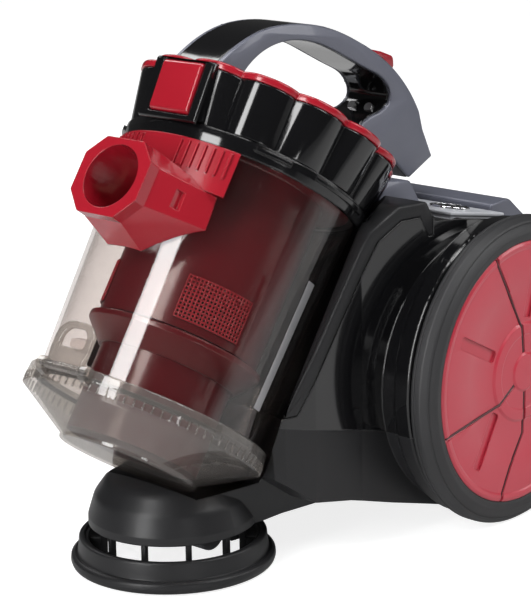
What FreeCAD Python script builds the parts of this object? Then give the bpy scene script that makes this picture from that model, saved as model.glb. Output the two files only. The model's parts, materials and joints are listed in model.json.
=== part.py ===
import FreeCAD, Part
import math
import os
from FreeCAD import Placement, Rotation, Vector

# Canister vacuum cleaner with a tilted bagless cup. Millimetres.
# X runs across the machine (+X is its own left), +Y is the rear, +Z is up.
# The origin is on the floor, under the middle of the whole machine.

# ---- driving dimensions -------------------------------------------------
WALL = 3.0                 # moulded housing wall
FIT = 0.05                 # radial running fit of a shaft
GAP = 0.4                  # gap between bodies that pass each other

WHEEL_R = 100.0
TYRE_IN = 108.0            # inboard and outboard faces of a wheel, from the middle
TYRE_OUT = 123.5
AXLE_Y = 93.3
AXLE_Z = WHEEL_R
AXLE_R = 6.0

DRUM_R = 94.0              # body drum round the wheel axis
DRUM_HALF = 95.0
FLANGE_R = 97.0            # side flange beside each wheel
FLANGE_OUT = 106.5

SWIVEL_Y = AXLE_Y - 197.0  # front foot ring
RING_R = 63.5
RING_WALL_R = 58.0
RING_BORE_R = 52.0
RING_TOP = 20.0
RING_CLEAR = 1.5
POST_R = 43.0
POST_COUNT = 10
NOSE_BOTTOM = 28.0
NOSE_R = 52.0
SWIVEL_PIN_R = 5.0
SWIVEL_BOSS_TOP = 36.0
ROLLER_R = 11.0
ROLLER_HALF = 7.0
ROLLER_TRAIL = 28.0

CUP_TILT = 34.5            # the cup leans back by this angle
CUP_BASE = Vector(0, AXLE_Y - 216.8, 99.0)
CUP_R_LOW = 70.5
CUP_R_TOP = 76.0
CUP_TOP = 156.0
CUP_WALL = 2.5
LID_LOW = 162.4
LID_TOP = 196.0
LID_R_LOW = 77.8
LID_R_TOP = 84.2
FLUTES = 14
TRIM_TOP = 200.5

FLAP_R = 77.0
FLAP_BASE = -32.0
FLAP_HINGE_U = -79.5       # rear hinge line of the flap, in the cup's own axes
FLAP_HINGE_L = -2.0
FLAP_PIN_R = 1.6

BORE_R = 20.0              # hose inlet
INLET_L = 111.0
INLET_MOUTH = 105.0

SHROUD_R = 51.0
SHROUD_LOW = 48.0
TUBE_R = 42.0
TUBE_LOW = -25.0

HANDLE_HALF = 19.0
CHEEK = 3.0
FOOT_BUTTON_X = 60.0
FOOT_BUTTON_R = 10.5

MOTOR_Y = AXLE_Y - 4.0
MOTOR_Z = 98.0

os.makedirs("parts", exist_ok=True)


# ---- small shape tools --------------------------------------------------
def save(name, shape):
    """Write one sub-part, as the fewest clean solids."""
    solids = shape.removeSplitter().Solids
    whole = solids[0] if len(solids) == 1 else Part.makeCompound(solids)
    good = all(s.isValid() for s in solids)
    print(f"{name:22s} solids {len(solids)}  volume {whole.Volume / 1000:9.2f} cm3  valid {good}")
    whole.exportStep(f"parts/{name}.step")
    return whole


def fuse(shapes):
    whole = shapes[0]
    for shape in shapes[1:]:
        whole = whole.fuse(shape)
    return whole


def cut(shape, *tools):
    for tool in tools:
        shape = shape.cut(tool)
    return shape


def mirrored(shape):
    """The shape and its mirror image in the middle plane."""
    return shape.mirror(Vector(0, 0, 0), Vector(1, 0, 0))


def outline(corners):
    """Closed wire in the XY plane from (x, y) or (x, y, corner radius) points."""
    points = [Vector(c[0], c[1], 0) for c in corners]
    radii = [c[2] if len(c) > 2 else 0.0 for c in corners]
    count = len(points)
    starts = []
    ends = []
    middles = []
    for i in range(count):
        here = points[i]
        back = points[i - 1] - here
        on = points[(i + 1) % count] - here
        if radii[i] == 0:
            starts.append(here)
            ends.append(here)
            middles.append(None)
            continue
        half = back.getAngle(on) / 2
        reach = radii[i] / math.tan(half)
        back.normalize()
        on.normalize()
        bisector = (back + on).normalize()
        starts.append(here + back * reach)
        ends.append(here + on * reach)
        middles.append(here + bisector * (radii[i] / math.sin(half) - radii[i]))
    edges = []
    for i in range(count):
        if middles[i] is not None:
            edges.append(Part.Arc(starts[i], middles[i], ends[i]).toShape())
        after = starts[(i + 1) % count]
        if (after - ends[i]).Length > 1e-6:
            edges.append(Part.LineSegment(ends[i], after).toShape())
    return Part.Wire(edges)


def plate(corners, low, high):
    """Outline in XY, extruded along Z from low to high."""
    face = Part.Face(outline(corners))
    solid = face.extrude(Vector(0, 0, high - low))
    solid.translate(Vector(0, 0, low))
    return solid


def turned(corners):
    """Outline of (radius, height) points, revolved about Z."""
    face = Part.Face(outline(corners))
    face.rotate(Vector(0, 0, 0), Vector(1, 0, 0), 90)
    return face.revolve(Vector(0, 0, 0), Vector(0, 0, 1), 360)


def slab(corners, low, high):
    """Outline of (y, z) points, extruded along X from low to high."""
    solid = plate(corners, low, high)
    stand = Placement(Vector(0, 0, 0), Rotation(Vector(0, 1, 0), Vector(0, 0, 1), Vector(1, 0, 0)))
    solid.Placement = stand.multiply(solid.Placement)
    return solid


def forward(corners, low, high):
    """Outline of (x, height) points, extruded out of the front (-Y) from low to high."""
    solid = plate(corners, low, high)
    stand = Placement(Vector(0, 0, 0), Rotation(Vector(1, 0, 0), 90))
    solid.Placement = stand.multiply(solid.Placement)
    return solid


def side_cup(corners, low, high):
    """Outline of (forward, height) points in the cup's axes, extruded across the machine."""
    return slab([(-c[0], *c[1:]) for c in reversed(corners)], low, high)


def sector(r_in, r_out, low, high, start, end):
    """Part of a ring, between two angles from the front (-Y) towards +X."""
    ring = tube(r_out, r_in, Vector(0, 0, low), Vector(0, 0, high))
    reach = 3 * r_out
    step = (end - start) / 4
    fan = [(0, 0)]
    for i in range(5):
        angle = math.radians(start + i * step)
        fan.append((reach * math.sin(angle), -reach * math.cos(angle)))
    return ring.common(plate(fan, low, high))


def block(x0, x1, y0, y1, z0, z1):
    return Part.makeBox(x1 - x0, y1 - y0, z1 - z0, Vector(x0, y0, z0))


def rod(radius, start, end):
    along = end - start
    return Part.makeCylinder(radius, along.Length, start, along)


def tube(outer, inner, start, end):
    return rod(outer, start, end).cut(rod(inner, start, end))


def spun(shape, angle):
    """Turn about the Z axis, in degrees."""
    copy = shape.copy()
    copy.rotate(Vector(0, 0, 0), Vector(0, 0, 1), angle)
    return copy


def in_cup(shape):
    """From the cup's own axes (Z up its axis, -Y out of its front) to the machine."""
    copy = shape.copy()
    tilt = Placement(CUP_BASE, Rotation(Vector(1, 0, 0), -CUP_TILT))
    copy.Placement = tilt.multiply(copy.Placement)
    return copy


def on_axle(shape, y=AXLE_Y, z=AXLE_Z):
    """From local Z to the machine's +X, about a line across the machine."""
    copy = shape.copy()
    lay = Placement(Vector(0, y, z), Rotation(Vector(0, -1, 0), Vector(0, 0, 1), Vector(1, 0, 0)))
    copy.Placement = lay.multiply(copy.Placement)
    return copy


def at_swivel(shape):
    copy = shape.copy()
    copy.translate(Vector(0, SWIVEL_Y, 0))
    return copy


def inset(points, depth):
    """Move every side of an anticlockwise polygon inwards by the depth."""
    count = len(points)
    lines = []
    for i in range(count):
        (ax, ay), (bx, by) = points[i], points[(i + 1) % count]
        length = math.hypot(bx - ax, by - ay)
        nx, ny = -(by - ay) / length, (bx - ax) / length
        lines.append((nx, ny, nx * ax + ny * ay + depth))
    moved = []
    for i in range(count):
        a, b, c = lines[i - 1]
        d, e, f = lines[i]
        det = a * e - b * d
        moved.append(((c * e - b * f) / det, (a * f - c * d) / det))
    return moved


# ---- housings -----------------------------------------------------------
# Side outline of the wedge in front of the drum, as (y, z) about the axle's y, anticlockwise.
WEDGE = [(-30, 11.5), (10, 40), (33, 187), (30, 190.5), (-28, 201), (-50, 202.5), (-57, 215.5), (-80, 215.5),
         (-103, 202.8), (-180, 91), (-178, 62), (-150, 42), (-120, 36), (-85, 26)]
# Plan outline of the flanks, as (y, half width).
FLANK = [(-190, 62), (-172, 72), (-150, 77), (-110, 80), (-60, 88), (-25, 95), (100, 95)]
# Hull of the tongue: bottom and top outlines as (y, half width).
TONGUE_LOW = [(-200, 41), (-175, 42), (-150, 44), (-122, 57), (-85, 72), (-25, 80)]
TONGUE_HIGH = [(-200, 44), (-182, 56), (-160, 72), (-122, 79), (-85, 84), (-25, 93)]
TONGUE_FLOOR = [(-20, 6), (30, 60), (30, 100), (-205, 100), (-205, 28), (-167, 28), (-123, 34), (-85, 26),
                (-30, 10.5)]
TONGUE_LOW_Z = 10.0
TONGUE_HIGH_Z = 95.0
PART_FRONT = (-148.0, 88.0)    # parting line between the two housings, (y, z)
PART_SLOPE = -0.24


def plan_outline(stations, depth):
    """Closed plan outline from (y, half width) stations, pulled in by a wall."""
    left = [(half - depth, y + AXLE_Y) for y, half in stations]
    left[0] = (left[0][0], left[0][1] + depth)
    right = [(-x, y) for x, y in reversed(left)]
    return left + right


def body_solid(depth):
    """Solid outside shape of the body, pulled in by a wall thickness."""
    side = [(y + AXLE_Y, z) for y, z in inset(WEDGE, depth)]
    wedge = slab(side, -DRUM_HALF, DRUM_HALF)
    plan = plate(plan_outline(FLANK, depth), 0, 240)
    wedge = wedge.common(plan)
    half = DRUM_HALF - depth
    drum = on_axle(Part.makeCylinder(DRUM_R - depth, 2 * half, Vector(0, 0, -half)))
    low = Part.Wire(Part.makePolygon(closed(plan_outline(TONGUE_LOW, depth), TONGUE_LOW_Z)).Edges)
    high = Part.Wire(Part.makePolygon(closed(plan_outline(TONGUE_HIGH, depth), TONGUE_HIGH_Z)).Edges)
    hull = Part.makeLoft([low, high], True, True)
    floor = slab([(y + AXLE_Y, z) for y, z in inset(TONGUE_FLOOR, depth)], -DRUM_HALF, DRUM_HALF)
    hull = hull.common(floor)
    radius = FLANGE_R - depth
    reach = FLANGE_OUT - depth
    flange = [(0, 70), (DRUM_R - 8 - depth, 70), (radius - 3, DRUM_HALF - 3), (radius, DRUM_HALF + 1),
              (radius, reach, 2), (0, reach)]
    side_flange = on_axle(turned(flange))
    nose_top = 64 - depth
    skin = NOSE_R - depth
    dome = [(skin, 33), (skin - 4, 46, 12), (skin - 12, 57, 14), (skin - 28, nose_top, 16), (0, nose_top)]
    nose = at_swivel(turned([(0, NOSE_BOTTOM + depth), (skin, NOSE_BOTTOM + depth)] + dome))
    return fuse([wedge, drum, hull, side_flange, mirrored(side_flange), nose])


def closed(points, z):
    ring = [Vector(x, y, z) for x, y in points]
    return ring + [ring[0]]


# Room that the cup, its flap, collar and lid need, as (radius, height) in the cup's own axes.
CUP_ROOM = [(0, -37), (47, -37), (79, -11), (79, 157), (82, 159), (82, 165), (88, 203), (88, 330), (0, 330)]


def cup_room(depth):
    """Space for the cup, grown by a wall, with its way out of the front."""
    grown = [(r + depth if r > 0 else 0, h) for r, h in CUP_ROOM]
    grown[0] = (0, CUP_ROOM[0][1] - depth)
    grown[1] = (grown[1][0], CUP_ROOM[1][1] - depth)
    room = turned(grown)
    sides = [(r, h) for r, h in grown if r > 0]
    silhouette = sides + [(-r, h) for r, h in reversed(sides)]
    way = Part.Face(outline(silhouette))
    way.rotate(Vector(0, 0, 0), Vector(1, 0, 0), 90)
    way = way.extrude(Vector(0, -300, 0))
    hinge = block(-30 - depth, 30 + depth, 60, 87 + depth, -14 - depth, 12 + depth)
    return in_cup(fuse([room, way, hinge]))


body_outer = body_solid(0)
body_inner = body_solid(WALL).cut(cup_room(WALL))
shell = body_outer.cut(body_inner).cut(cup_room(0))
above = slab([(y + AXLE_Y, PART_FRONT[1] + (y - PART_FRONT[0]) * PART_SLOPE) for y in (-260, 160)]
             + [(260, 300), (-260, 300)], -120, 120)


# ---- fixed parts that pass through the housings -------------------------
PANEL_SLOPE = math.degrees(math.atan2(201 - 190.5, 58))


def on_panel(shape, x):
    """From local Z to the tilted top panel, about the middle of a foot button."""
    copy = shape.copy()
    lay = Placement(Vector(x, AXLE_Y + 2, 195.6), Rotation(Vector(1, 0, 0), -PANEL_SLOPE))
    copy.Placement = lay.multiply(copy.Placement)
    return copy


def both_buttons(shape):
    return fuse([on_panel(shape, FOOT_BUTTON_X), on_panel(shape, -FOOT_BUTTON_X)])


PANEL_T = 2.6
button_holes = both_buttons(Part.makeCylinder(FOOT_BUTTON_R + GAP, 30, Vector(0, 0, -15)))

SCREW_SPOTS = [(46, -78, 26), (-46, -78, 26), (55, 50, 20), (-55, 50, 20)]
housing_screws = []
for x, y, z in SCREW_SPOTS:
    foot = Vector(x, y + AXLE_Y, z - 4)
    screw = fuse([rod(2.0, foot, foot + Vector(0, 0, 22)), rod(4.0, foot, foot + Vector(0, 0, 8))])
    housing_screws.append(screw)
screw_group = Part.makeCompound(housing_screws).common(body_outer)

AIR_TOP = Vector(0, 70, 207)        # air leaves the lid here, in the cup's axes
AIR_LOW = Vector(0, AXLE_Y - 36, 166)
air_start = in_cup(Part.Vertex(AIR_TOP)).Point
air_way = rod(13, air_start, AIR_LOW)

NECK = [(-75, 188), (-12, 188), (-11.5, 201, 3), (-23, 218.5, 5), (-60, 224, 3), (-75, 224)]
neck_block = slab([(y + AXLE_Y, z, *r) for y, z, *r in NECK], -48, 48)
intake_neck = cut(neck_block, body_outer, cup_room(0), air_way)

PANEL = [(-27, 200.0), (29.5, 189.8), (29.5, 193.2, 0.8), (-27.5, 203.5, 0.8)]
panel_block = slab([(y + AXLE_Y, z, *r) for y, z, *r in PANEL], -84, 84)
top_panel = cut(panel_block, body_outer, neck_block, cup_room(0), button_holes)

HOOD = [(32, 180), (34, 196, 3), (53, 197.5, 9), (77, 178, 22), (96.5, 142, 20), (98, 104, 3), (80, 104)]
hood_block = slab([(y + AXLE_Y, z, *r) for y, z, *r in HOOD], -70, 70)
exhaust_grille = hood_block.cut(body_outer)
SLOT_COUNT = 9
slots = []
for i in range(SLOT_COUNT):
    z = 116 + i * 6.6
    slots.append(block(-54, -2.5, AXLE_Y + 50, AXLE_Y + 120, z, z + 3.2))
    slots.append(block(2.5, 54, AXLE_Y + 50, AXLE_Y + 120, z, z + 3.2))
exhaust_slots = fuse(slots)
exhaust_grille = exhaust_grille.cut(exhaust_slots)
exhaust_window = block(-50, 50, AXLE_Y + 50, AXLE_Y + 93, 118, 168)

CORD_X = -52
CORD_Z = 62
cord_line = [Vector(CORD_X, AXLE_Y + 70, CORD_Z), Vector(CORD_X, AXLE_Y + 96, CORD_Z)]
cord_hole = rod(9, *cord_line)
bush_outer = turned([(5, -14, 1), (9, -14), (9, 0.5), (12.5, 1, 0.5), (12.5, 3.5, 1.5), (5, 3.5, 1)])
bush_outer.rotate(Vector(0, 0, 0), Vector(1, 0, 0), -90)
bush_outer.translate(Vector(CORD_X, AXLE_Y + 87.5, CORD_Z))
wall_there = body_outer.common(block(-70, -30, AXLE_Y + 80, AXLE_Y + 96, 40, 90)).cut(cord_hole)
cord_outlet = bush_outer.cut(wall_there)

shell = cut(shell, at_swivel(rod(47.6, Vector(0, 0, NOSE_BOTTOM - 1), Vector(0, 0, 33))))
shell = cut(shell, button_holes, screw_group, air_way, exhaust_window, cord_hole)

WHEEL_BOSS_IN = 84.0
wheel_boss = on_axle(tube(15, AXLE_R, Vector(0, 0, WHEEL_BOSS_IN), Vector(0, 0, FLANGE_OUT + 0.5)))
axle_bore = on_axle(rod(AXLE_R, Vector(0, 0, -FLANGE_OUT - 9), Vector(0, 0, FLANGE_OUT + 9)))
rim_zone = slab([(y + AXLE_Y, z) for y, z in WEDGE], -120, 120).cut(
    slab([(y + AXLE_Y, z) for y, z in inset(WEDGE, 9)], -120, 120))
rim_zone = rim_zone.common(block(-120, 120, -200, AXLE_Y - 52, 100, 260))

upper = shell.common(above)
cradle_rim = upper.common(rim_zone)
upper = fuse([upper.cut(rim_zone).cut(axle_bore), wheel_boss, mirrored(wheel_boss)])
save("upper_housing", upper)
save("cradle_rim", cradle_rim)

nose_floor = at_swivel(Part.makeCylinder(50, 3, Vector(0, 0, 33))).common(body_outer)
swivel_boss = at_swivel(Part.makeCylinder(10, SWIVEL_BOSS_TOP - 33, Vector(0, 0, 33)))
lower = cut(fuse([shell.cut(above), nose_floor, swivel_boss]),
            at_swivel(rod(SWIVEL_PIN_R + FIT, Vector(0, 0, 20), Vector(0, 0, SWIVEL_BOSS_TOP))))
save("lower_housing", lower)

save("intake_neck", intake_neck)
save("top_panel", top_panel)
save("exhaust_grille", exhaust_grille)
save("cord_outlet", cord_outlet)
save("housing_screws", screw_group)
ring_in = FOOT_BUTTON_R + GAP
chrome = turned([(ring_in, PANEL_T - 3.2), (ring_in, 4.4, 0.4), (13, 4.0, 0.8), (13.4, 0.6)])
button_rings = both_buttons(chrome).cut(body_outer).cut(panel_block)
save("button_rings", button_rings)
foot_button = turned([(0, -6), (FOOT_BUTTON_R, -6), (FOOT_BUTTON_R, 3.6, 1), (7, 4.4, 3), (0, 4.4)])
save("power_button", on_panel(foot_button, FOOT_BUTTON_X))
save("rewind_button", on_panel(foot_button, -FOOT_BUTTON_X))

# ---- motor, filters, reel and board -------------------------------------
FAN_R = 56.0
CAN_R = 46.0


def on_motor(shape):
    return on_axle(shape, MOTOR_Y, MOTOR_Z)


def across(x):
    return Vector(0, 0, x)


fan_housing = cut(rod(FAN_R, across(-36), across(-8)), rod(FAN_R - 2.5, across(-33.5), across(-10.5)),
                  rod(20, across(-37), across(-33)), rod(4 + FIT, across(-12), across(-7)))
save("fan_housing", on_motor(fan_housing))
motor_can = cut(rod(CAN_R, across(-8), across(60)), rod(CAN_R - 2, across(-8), across(58)),
                rod(4 + FIT, across(50), across(61)))
for i in range(8):
    vent = block(CAN_R - 6, CAN_R + 4, -6, 6, 14, 46)
    motor_can = motor_can.cut(spun(vent, 45 * i))
save("motor_can", on_motor(motor_can))
save("stator", on_motor(tube(CAN_R - 2, 28, across(8), across(44))))
save("rotor", on_motor(fuse([rod(4, across(-32), across(66)), rod(26, across(10), across(42)),
                             rod(12, across(45), across(55))])))
IMPELLER_BLADES = 9
impeller = fuse([tube(48, 4, across(-16), across(-14)), tube(9, 4, across(-31), across(-14))])
for i in range(IMPELLER_BLADES):
    blade = block(8, 46, -0.8, 0.8, -30, -15)
    impeller = impeller.fuse(spun(blade, 360 * i / IMPELLER_BLADES))
save("impeller", on_motor(impeller))

saddles = []
for x0, x1, radius in ((-27, -19, FAN_R), (46, 54, CAN_R)):
    saddle = block(x0, x1, MOTOR_Y - 42, MOTOR_Y + 42, 5, 74)
    cushion = on_motor(tube(radius + 4, radius, across(x0), across(x1)))
    saddles.append((saddle.cut(on_motor(rod(radius + 4, across(x0 - 1), across(x1 + 1)))), cushion))
motor_bracket = Part.makeCompound([s for s, c in saddles]).common(body_inner)
save("motor_bracket", motor_bracket)
save("motor_cushions", Part.makeCompound([c for s, c in saddles]))
save("intake_duct", cut(block(-43.5, -36, MOTOR_Y - 26, MOTOR_Y + 22, 70, 159),
                        block(-41.5, -38, MOTOR_Y - 24, MOTOR_Y + 20, 72, 160),
                        on_motor(rod(20, across(-38.5), across(-35)))))
save("pre_motor_filter", block(-40, 34, AXLE_Y - 50, AXLE_Y - 4, 159, 182).common(body_inner))
save("exhaust_filter", block(-42, 50, AXLE_Y + 63, AXLE_Y + 77, 112, 146))

REEL_R = 57.0
reel = fuse([tube(26, 5 + FIT, across(-78), across(-46)), tube(REEL_R, 5 + FIT, across(-78), across(-76)),
             tube(REEL_R, 5 + FIT, across(-48), across(-46))])
save("cord_reel", on_axle(reel))
save("reel_spindle", on_axle(fuse([rod(5, across(-84), across(-45)), rod(12, across(-84), across(-80))])))
save("control_board", fuse([block(72, 73.6, AXLE_Y - 24, AXLE_Y + 24, 16, 82),
                            block(66, 72, AXLE_Y - 18, AXLE_Y - 2, 30, 48),
                            block(63, 72, AXLE_Y + 4, AXLE_Y + 18, 40, 66)]))

# ---- wheels -------------------------------------------------------------
axle_stub = rod(AXLE_R, across(WHEEL_BOSS_IN), across(118))
axle_screw = fuse([rod(9, across(118), across(119.4)), rod(5, across(119.4), across(120.8))])
BEAD_R = 85.0              # where the tyre sits on its rim
tyre = turned([(BEAD_R, 109), (97, TYRE_IN, 2), (WHEEL_R, 110.5, 2), (WHEEL_R, 116, 4), (96.5, 121.5, 5),
               (90, TYRE_OUT, 3), (BEAD_R, 122.6, 0.5)])
bore_r = AXLE_R + FIT
rim = turned([(bore_r, 107.2), (16, 107.2, 0.5), (17, 110.5), (79, 110.5, 1), (80.5, TYRE_IN + 0.8, 0.5),
              (BEAD_R, TYRE_IN + 0.8, 0.5), (BEAD_R, 119.6), (80.5, 119.6), (80, 113), (17, 113, 1),
              (16, 117.6, 0.5), (bore_r, 117.6)])
cap_back = [(0, 121.6), (12, 121.6), (31, 120.4), (78, 119.8), (80.6, 119.6), (84.9, 119.6)]
cap_face = [(84.9, 122.2, 0.4), (82.5, 122.8, 0.6), (80, 122.4, 0.5), (32.5, 122.2), (31, 123.2, 0.5),
            (12.5, 123.4), (11.5, 124.2, 0.5), (0, 124.3)]
cap = turned(cap_back + cap_face)
SLOTS = [(53.5, 27, 0), (54, 99, 8), (53.5, 166, 0), (53.5, 246, 0), (54, -44, -15)]


def polar(radius, angle):
    """Point on the wheel face; the angle runs from the front upwards."""
    return Vector(radius * math.cos(math.radians(angle)), radius * math.sin(math.radians(angle)), 0)


marks = []
for radius, angle, lean in SLOTS:
    recess = block(-19, 19, -4, 4, 121.2, 126)
    middle = polar(radius, angle)
    recess.rotate(Vector(0, 0, 0), Vector(0, 0, 1), math.degrees(math.atan2(middle.y, middle.x)) + lean)
    recess.translate(middle)
    marks.append(recess)
hub_cap = cut(cap, *marks)

for side, hand in (("left", lambda shape: shape), ("right", mirrored)):
    save(f"tyre_{side}", hand(on_axle(tyre)))
    save(f"rim_{side}", hand(on_axle(rim)))
    save(f"hub_cap_{side}", hand(on_axle(hub_cap)))
save("axle_stubs", Part.makeCompound([on_axle(axle_stub), mirrored(on_axle(axle_stub))]))
save("axle_screws", Part.makeCompound([on_axle(axle_screw), mirrored(on_axle(axle_screw))]))

# ---- swivel foot --------------------------------------------------------
PIN_R = 2.5
foot_ring = turned([(RING_BORE_R, RING_CLEAR), (RING_R, RING_CLEAR, 2), (RING_R, 7.5, 3),
                    (RING_WALL_R + 1, 10, 1.5), (RING_WALL_R, RING_TOP, 1.5), (RING_BORE_R, RING_TOP, 1)])
DISC_LOW = 29.2
DISC_HIGH = 32.2
pieces = [foot_ring, tube(46, SWIVEL_PIN_R, Vector(0, 0, DISC_LOW), Vector(0, 0, DISC_HIGH))]
for i in range(POST_COUNT):
    angle = -90 + 21 + 360 * i / POST_COUNT
    post = block(POST_R - 2, POST_R + 2, -1.6, 1.6, 4, DISC_LOW + 1)
    rib = block(POST_R, RING_BORE_R + 1, -1.2, 1.2, 4, 15)
    pieces.append(spun(fuse([post, rib]), angle))
for x in (ROLLER_HALF + 0.6, -ROLLER_HALF - 3.6):
    cheek = slab([(ROLLER_TRAIL - 9, DISC_LOW + 1), (ROLLER_TRAIL - 5, 7, 4), (ROLLER_TRAIL + 5, 7, 4),
                  (ROLLER_TRAIL + 9, DISC_LOW + 1)], x, x + 3)
    pieces.append(cheek)
PIN_HALF = ROLLER_HALF + 3.6
roller_pin = rod(PIN_R, Vector(-PIN_HALF, ROLLER_TRAIL, ROLLER_R), Vector(PIN_HALF, ROLLER_TRAIL, ROLLER_R))
save("swivel_ring", at_swivel(fuse(pieces).cut(roller_pin)))
save("roller_axle", at_swivel(roller_pin))
roller = turned([(PIN_R + FIT, -ROLLER_HALF), (ROLLER_R, -ROLLER_HALF, 1.5), (ROLLER_R, ROLLER_HALF, 1.5),
                 (PIN_R + FIT, ROLLER_HALF)])
save("caster_roller", on_axle(roller, SWIVEL_Y + ROLLER_TRAIL, ROLLER_R))
pin_end = Vector(0, 0, SWIVEL_BOSS_TOP + 1.2)
save("swivel_pin", at_swivel(fuse([rod(SWIVEL_PIN_R, Vector(0, 0, DISC_LOW), pin_end),
                                   rod(6.2, Vector(0, 0, SWIVEL_BOSS_TOP + 0.2), pin_end)])))

# ---- dust cup -----------------------------------------------------------
cup_outer = turned([(0, 0), (CUP_R_LOW, 0), (CUP_R_TOP, CUP_TOP), (0, CUP_TOP)])
low_r = CUP_R_LOW - CUP_WALL
top_r = CUP_R_TOP - CUP_WALL
cup_inner = turned([(0, -1), (low_r, -1), (top_r, CUP_TOP + 1), (0, CUP_TOP + 1)])
LINER_R = BORE_R + 2
inlet_axis = [Vector(0, -62, INLET_L), Vector(0, -120, INLET_L)]
HINGE_HALF = 19.0
hinge_line = [Vector(x, -FLAP_HINGE_U, FLAP_HINGE_L) for x in (-HINGE_HALF, HINGE_HALF)]
hinge_pin = rod(FLAP_PIN_R, *hinge_line)
EAR = [(-69, 5), (-69, 14, 1), (-78, 10, 2), (-83, 2, 2), (-83, -5.5, 3), (-77.6, -5.5, 1), (-77.6, 4.6, 1)]
ears = fuse([side_cup(list(reversed(EAR)), 14.6, 19), side_cup(list(reversed(EAR)), -19, -14.6)])
dust_cup = cut(fuse([cup_outer, ears]), cup_inner, rod(LINER_R, *inlet_axis), hinge_pin)
save("dust_cup", in_cup(dust_cup))
save("flap_hinge_pin", in_cup(hinge_pin))
catch = side_cup([(69, 12), (76.8, 14, 1), (76.8, 18, 1), (69, 22)], -6, 6).cut(cup_outer)
save("cup_catch", in_cup(catch))
collar_r = CUP_R_TOP + 0.03
collar = turned([(73.5, CUP_TOP), (collar_r, CUP_TOP), (collar_r, 152), (78, 152, 0.5), (79, 157),
                 (79, 162, 0.5), (73.5, 162)])
ledges = []
for start, end in ((43, 60), (73, 109)):
    ledges.append(sector(78, 80.6, 157, 160, start, end))
    ledges.append(sector(78, 80.6, 157, 160, -end, -start))
save("cup_collar", in_cup(fuse([collar] + ledges)))

MOUTH = [(27, 99), (27, 123), (15, 135), (-15, 135), (-27, 123), (-27, 99), (-15, 86.5), (15, 86.5)]
ROOT = [(44, 103), (44, 123.5), (38, 127), (-38, 127), (-44, 123.5), (-44, 103), (-13, 76), (13, 76)]


def front_wire(corners, reach):
    return Part.makePolygon([Vector(x, -reach, z) for x, z in corners + corners[:1]])


hull = Part.makeLoft([front_wire(ROOT, 60), front_wire(MOUTH, 97)], True, True)
lip = forward([(x, z, 2.5) for x, z in MOUTH], 95, INLET_MOUTH)
plate_38 = sector(CUP_R_TOP + 0.05, 79.6, 124, 151.9, -38.4, 38.4)
RIB_COUNT = 7
ribs = []
for i in range(RIB_COUNT):
    for side in (1, -1):
        angle = side * (11.5 + i * 3.9)
        rib = block(-0.8, 0.8, -81, -79, 134, 150)
        ribs.append(spun(rib, angle))
liner = rod(LINER_R, Vector(0, -66, INLET_L), Vector(0, -80, INLET_L))
port = cut(fuse([hull, lip, plate_38] + ribs), cup_outer)
port = cut(fuse([port, liner]), rod(BORE_R, *inlet_axis))
for side in (1, -1):
    window = block(-4, 4, -4, 4, INLET_L - 5, INLET_L + 6)
    window.translate(Vector(side * 37, -82, 0))
    port = port.cut(window)
save("inlet_port", in_cup(port))
VANE_IN = 56.2              # clear of the skirt, which passes it as the lid comes off
VANE_OUT = 64.8             # the vane stops short of the bore, and two feet join it to the liner
vane = forward([(-16.5, INLET_L - 14), (-12, INLET_L - 17.5), (8, INLET_L + 18.5), (3.5, INLET_L + 21)],
               VANE_IN, VANE_OUT)
for x, z in ((-15.3, INLET_L - 15.0), (5.5, INLET_L + 20.4)):
    vane = vane.fuse(block(x - 0.6, x + 0.6, -66, -VANE_OUT, z - 0.6, z + 0.6))
save("guide_vane", in_cup(vane))

# ---- bottom flap and latch ----------------------------------------------
flap = turned([(0, FLAP_BASE), (44, FLAP_BASE, 1), (44.5, FLAP_BASE + 3, 1), (76.2, -9.5, 2), (FLAP_R, -3, 2),
               (76.5, 3.5, 1), (72, 3.5, 0.4), (72, -3.2), (68.5, -3.2, 0.5), (68.5, -11, 2), (43, -28.2, 1),
               (42, -30.6), (0, -30.6)])
for x in (14.2, -19.4):
    flap = flap.cut(block(x, x + 5.2, 68, 90, -6.5, 6))
barrel = rod(3.6, Vector(-14, -FLAP_HINGE_U, FLAP_HINGE_L), Vector(14, -FLAP_HINGE_U, FLAP_HINGE_L))
arm = block(-14, 14, 74, 79.5, -5.6, 1)
LATCH_U = 80.2
LATCH_L = -1.0
latch_pin = rod(1.2, Vector(-19, -LATCH_U, LATCH_L), Vector(19, -LATCH_U, LATCH_L))
LATCH_EAR = [(75, -7), (81, -5, 2), (84, -1, 2.5), (81, 4, 2.5), (75, 3)]
latch_ears = fuse([side_cup(LATCH_EAR, 15.2, 20), side_cup(LATCH_EAR, -20, -15.2)])
flap = fuse([flap, barrel, arm, latch_ears.cut(Part.makeCylinder(74, 20, Vector(0, 0, -12)))])
hinge_ends = [Vector(x, -FLAP_HINGE_U, FLAP_HINGE_L) for x in (-20, 20)]
flap = cut(flap, rod(FLAP_PIN_R + FIT, *hinge_ends), latch_pin)
save("bottom_flap", in_cup(flap))
seal = turned([(68.6, -3.1), (71.9, -3.1), (71.9, -0.3, 0.8), (68.6, -0.3, 0.8)])
save("flap_seal", in_cup(seal))
save("latch_pin", in_cup(latch_pin))
LOOP = [(-13.5, 0), (13.5, 0), (15.5, 9, 4), (15.5, 28, 11), (-15.5, 28, 11), (-15.5, 9, 4)]
LOOP_HOLE = [(-10, 12, 2), (10, 12, 2), (10, 24, 7), (-10, 24, 7)]
loop = forward(LOOP, 78.2, 81.4)
loop = loop.cut(forward(LOOP_HOLE, 70, 90))
loop = loop.fuse(rod(2.4, Vector(-14.8, -LATCH_U, LATCH_L), Vector(14.8, -LATCH_U, LATCH_L)))
loop = loop.cut(rod(1.2 + FIT, Vector(-20, -LATCH_U, LATCH_L), Vector(20, -LATCH_U, LATCH_L)))
save("flap_latch", in_cup(loop))

# ---- lid ----------------------------------------------------------------


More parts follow.
